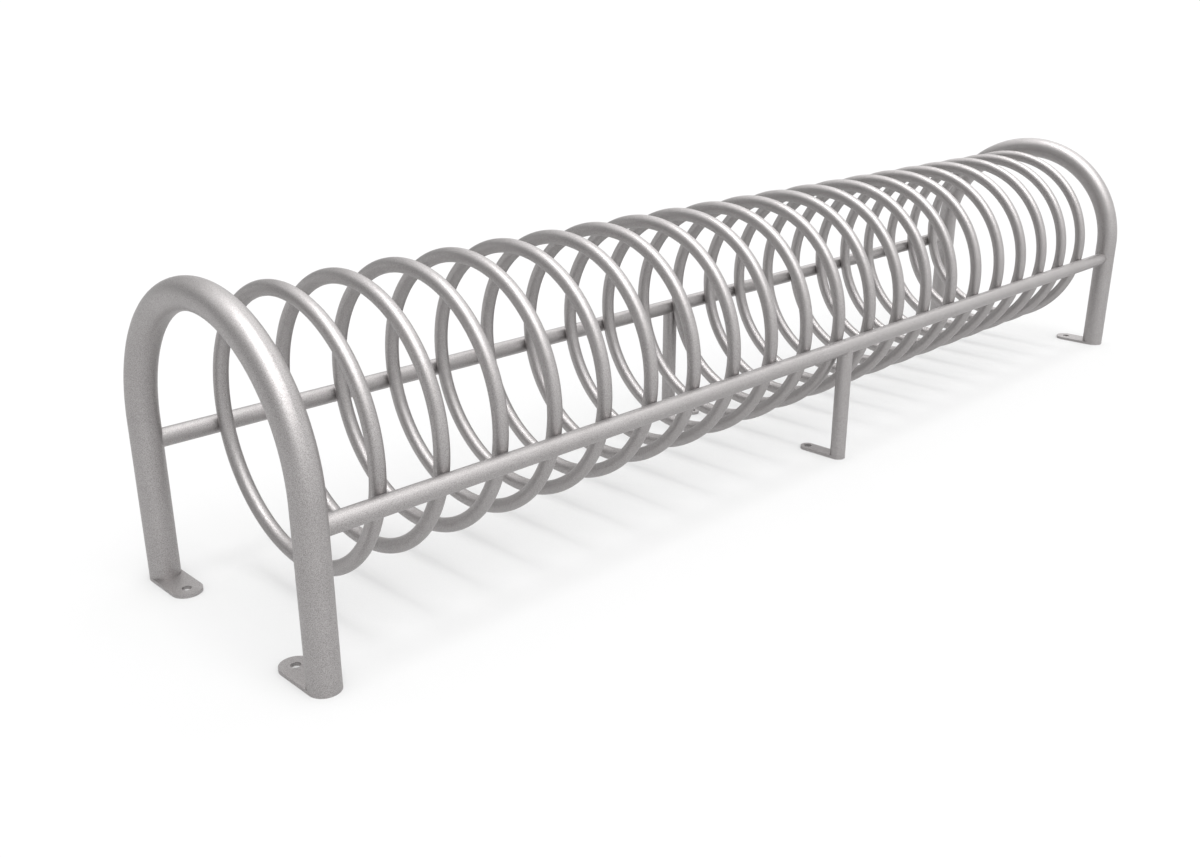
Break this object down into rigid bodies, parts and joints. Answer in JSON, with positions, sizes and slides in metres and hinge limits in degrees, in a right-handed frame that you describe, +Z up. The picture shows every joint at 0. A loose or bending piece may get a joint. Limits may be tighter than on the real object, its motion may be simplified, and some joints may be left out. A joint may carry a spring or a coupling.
{
  "type": "bicycle rack",
  "caption": "Ground-fixed bicycle rack of round steel tube: upright closed rings stand in a row across side rails, between end hoops on bolt-down foot plates.",
  "frame": {"origin": "on the ground, under the middle of the rack", "axes": "+X along the row of rings, the front rail at -Y, +Z up"},
  "size_m": [2.5908, 0.5398, 0.5529],
  "materials": {
    "steel": "satin"
  },
  "bodies": {
    "root": {"hoop_left": "steel", "hoop_right": "steel", "rail_front": "steel", "rail_back": "steel", "mid_leg_front": "steel", "mid_leg_back": "steel", "foot_left_front": "steel", "foot_left_back": "steel", "foot_right_front": "steel", "foot_right_back": "steel", "foot_mid_front": "steel", "foot_mid_back": "steel", "ring_01": "steel", "ring_02": "steel", "ring_03": "steel", "ring_04": "steel", "ring_05": "steel", "ring_06": "steel", "ring_07": "steel", "ring_08": "steel", "ring_09": "steel", "ring_10": "steel", "ring_11": "steel", "ring_12": "steel", "ring_13": "steel", "ring_14": "steel", "ring_15": "steel", "ring_16": "steel", "ring_17": "steel", "ring_18": "steel", "ring_19": "steel", "ring_20": "steel", "ring_21": "steel"}
  },
  "joints": []
}
